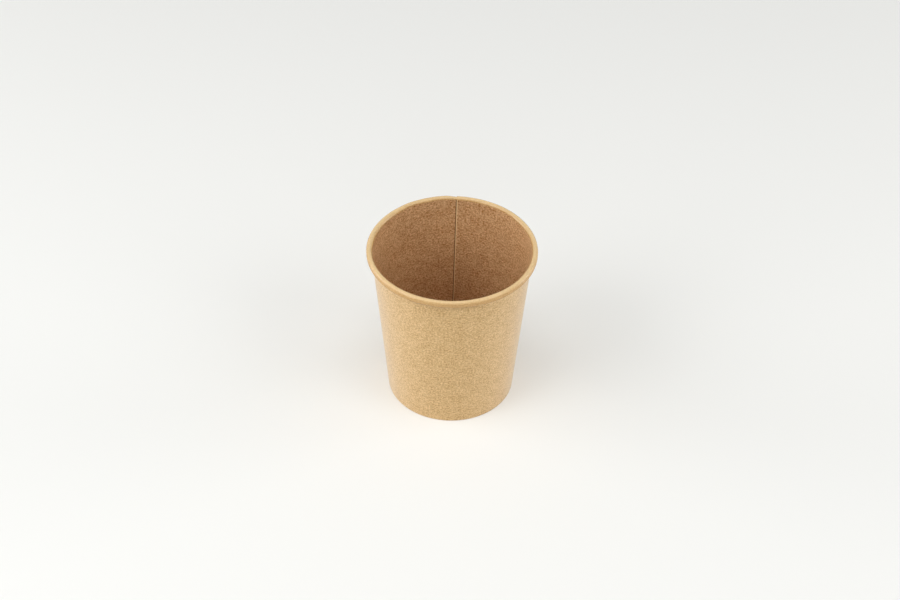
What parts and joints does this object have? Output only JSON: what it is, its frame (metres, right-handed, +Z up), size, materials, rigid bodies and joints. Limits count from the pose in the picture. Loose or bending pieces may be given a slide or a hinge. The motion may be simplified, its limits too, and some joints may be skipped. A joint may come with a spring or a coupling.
{
  "type": "paper soup cup",
  "caption": "Tapered round soup cup of plain kraft paperboard, with a rolled rim, a lapped side seam and a recessed bottom held in a folded hem.",
  "frame": {"origin": "centre of the standing edge, on the plane that the cup stands on", "axes": "+Z up along the cup's axis towards the open rim; +Y towards the back, where the side seam runs; the picture's camera looks roughly along +Y"},
  "size_m": [0.0978, 0.098, 0.102],
  "materials": {
    "wall_board": "uncoated kraft board outside, thin clear barrier film inside",
    "bottom_board": "kraft board with a thin clear barrier film on its upper face"
  },
  "bodies": {
    "root": {"side_wall": "wall_board", "bottom_disc": "bottom_board"}
  },
  "joints": []
}
